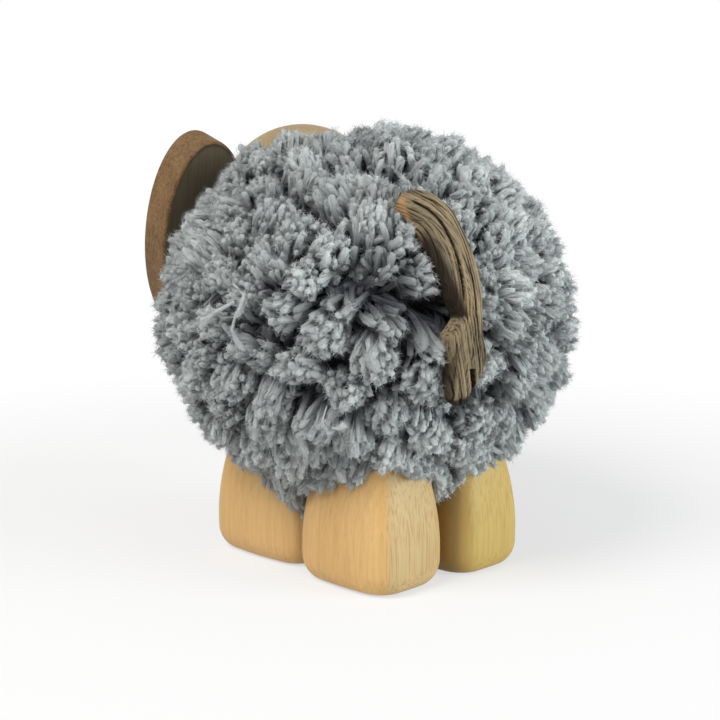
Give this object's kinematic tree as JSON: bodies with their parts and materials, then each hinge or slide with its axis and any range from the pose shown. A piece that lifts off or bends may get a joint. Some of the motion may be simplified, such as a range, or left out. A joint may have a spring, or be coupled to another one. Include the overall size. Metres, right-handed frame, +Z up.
{
  "type": "pom-pom elephant figurine",
  "caption": "Elephant figurine with a round pom-pom body of cut yarn on rounded wooden block legs, a carved wooden head with curled trunk, slab ears and a split-stick tail.",
  "frame": {"origin": "on the floor under the middle of the whole figure's box", "axes": "+Z up, the elephant looks along -Y, its left side is +X"},
  "size_m": [0.0994, 0.1406, 0.1082],
  "materials": {
    "yarn": "soft cut yarn, mid grey",
    "tie_cord": "twisted cord",
    "light_wood": "satin, honey coloured with fine upright grain",
    "ear_wood": "matt dark face with a paler sawn edge",
    "tail_wood": "rough split grain",
    "dowel_wood": "plain beech",
    "eye_wood": "polished black"
  },
  "bodies": {
    "root": {"yarn_pompom": "yarn", "front_tie_cord": "tie_cord", "rear_tie_cord": "tie_cord", "spine_dowel": "dowel_wood", "centre_post": "dowel_wood", "leg_hub": "dowel_wood", "front_left_leg": "light_wood", "front_right_leg": "light_wood", "rear_left_leg": "light_wood", "rear_right_leg": "light_wood", "front_left_leg_dowel": "dowel_wood", "front_right_leg_dowel": "dowel_wood", "rear_left_leg_dowel": "dowel_wood", "rear_right_leg_dowel": "dowel_wood", "head": "light_wood", "left_ear": "ear_wood", "right_ear": "ear_wood", "left_eye": "eye_wood", "right_eye": "eye_wood", "tail": "tail_wood", "tail_peg": "dowel_wood"}
  },
  "joints": []
}
